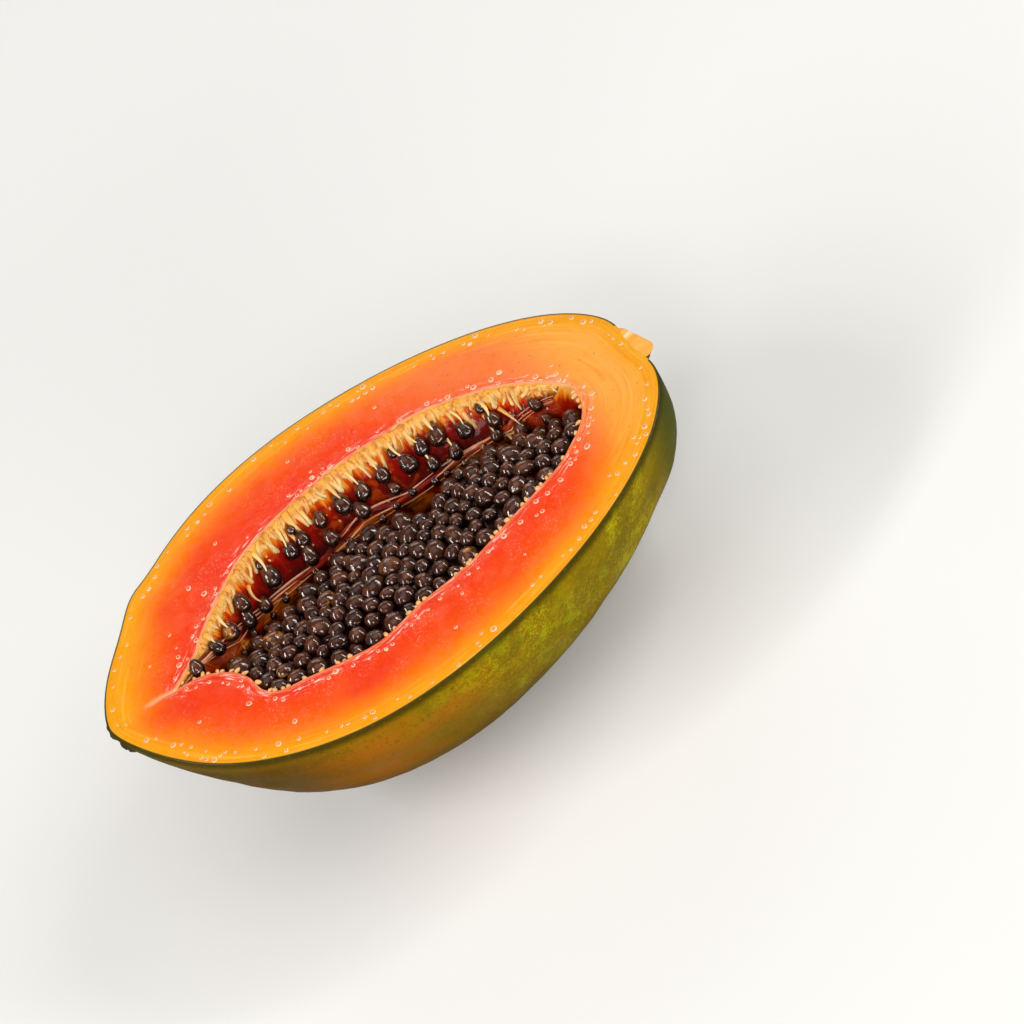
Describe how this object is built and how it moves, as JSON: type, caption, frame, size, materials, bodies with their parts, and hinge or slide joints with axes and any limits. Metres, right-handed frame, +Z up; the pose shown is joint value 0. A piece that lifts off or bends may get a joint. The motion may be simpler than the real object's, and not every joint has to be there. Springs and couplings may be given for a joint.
{
  "type": "papaya half",
  "caption": "Ripe papaya cut in half lengthwise, lying on its skin with the orange cut face up and a hollow full of dark round seeds.",
  "frame": {"origin": "on the surface the half rests on, under the middle of its box", "axes": "+X along the fruit from the blossom end to the stem, +Z up out of the cut face"},
  "size_m": [0.1895, 0.1166, 0.0586],
  "materials": {
    "flesh": "moist orange papaya flesh, golden under a thin olive-green skin",
    "seed": "wet dark brown seeds"
  },
  "bodies": {
    "root": {"papaya_half": "flesh", "seed_heap": "seed"}
  },
  "joints": []
}
